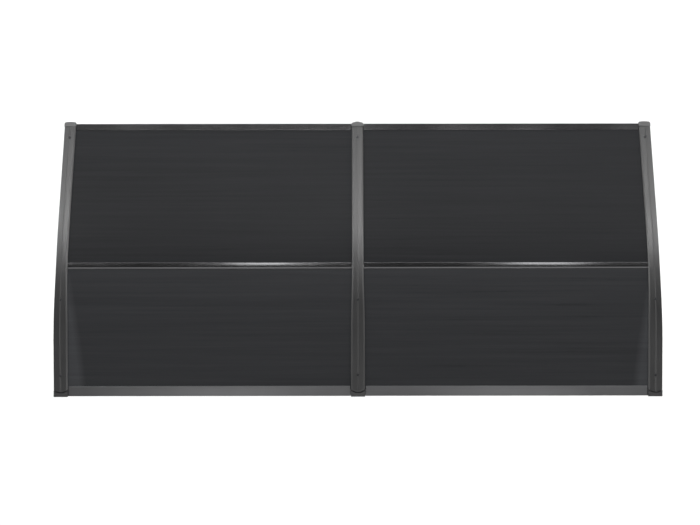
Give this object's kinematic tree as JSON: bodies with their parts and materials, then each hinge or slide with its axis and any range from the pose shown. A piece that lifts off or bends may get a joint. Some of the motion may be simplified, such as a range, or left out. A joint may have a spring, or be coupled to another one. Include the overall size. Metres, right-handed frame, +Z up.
{
  "type": "door canopy",
  "caption": "Rigid wall-mounted door canopy: smoked hollow sheets in dark aluminium rails, clamped between moulded cantilever brackets with deep gussets, sloping down to the front.",
  "frame": {"origin": "middle of the middle bracket's wall plate, on its back face against the wall", "axes": "+Z up, -Y out from the wall over the door, +Y into the wall, +X along the wall to the right as seen from in front"},
  "size_m": [2, 0.8991, 0.2889],
  "materials": {
    "smoked_sheet": "smoked black hollow polycarbonate, semi-gloss",
    "bracket_plastic": "dark grey moulded plastic with a fine grain, satin",
    "dark_aluminium": "dark anodised extrusion, satin",
    "black_rubber": "matt black rubber",
    "screw_steel": "blackened steel"
  },
  "bodies": {
    "root": {"bracket_left": "bracket_plastic", "bracket_middle": "bracket_plastic", "bracket_right": "bracket_plastic", "cover_left": "bracket_plastic", "cover_middle": "bracket_plastic", "cover_right": "bracket_plastic", "nose_cap_left": "bracket_plastic", "nose_cap_middle": "bracket_plastic", "nose_cap_right": "bracket_plastic", "rear_sheet_left": "smoked_sheet", "front_sheet_left": "smoked_sheet", "rear_sheet_right": "smoked_sheet", "front_sheet_right": "smoked_sheet", "joint_bar_left": "dark_aluminium", "front_rail_left": "dark_aluminium", "rear_rail_left": "dark_aluminium", "joint_bar_right": "dark_aluminium", "front_rail_right": "dark_aluminium", "rear_rail_right": "dark_aluminium", "wall_seal_left": "black_rubber", "wall_seal_right": "black_rubber", "gasket_left": "black_rubber", "gasket_middle_left": "black_rubber", "gasket_middle_right": "black_rubber", "gasket_right": "black_rubber", "cover_screw_left_rear": "screw_steel", "cover_screw_left_centre": "screw_steel", "cover_screw_left_front": "screw_steel", "nose_screw_left": "screw_steel", "cover_screw_middle_rear": "screw_steel", "cover_screw_middle_centre": "screw_steel", "cover_screw_middle_front": "screw_steel", "nose_screw_middle": "screw_steel", "cover_screw_right_rear": "screw_steel", "cover_screw_right_centre": "screw_steel", "cover_screw_right_front": "screw_steel", "nose_screw_right": "screw_steel", "front_rail_screw_left_left": "screw_steel", "rear_rail_screw_left_left": "screw_steel", "front_rail_screw_left_right": "screw_steel", "rear_rail_screw_left_right": "screw_steel", "front_rail_screw_right_left": "screw_steel", "rear_rail_screw_right_left": "screw_steel", "front_rail_screw_right_right": "screw_steel", "rear_rail_screw_right_right": "screw_steel"}
  },
  "joints": []
}
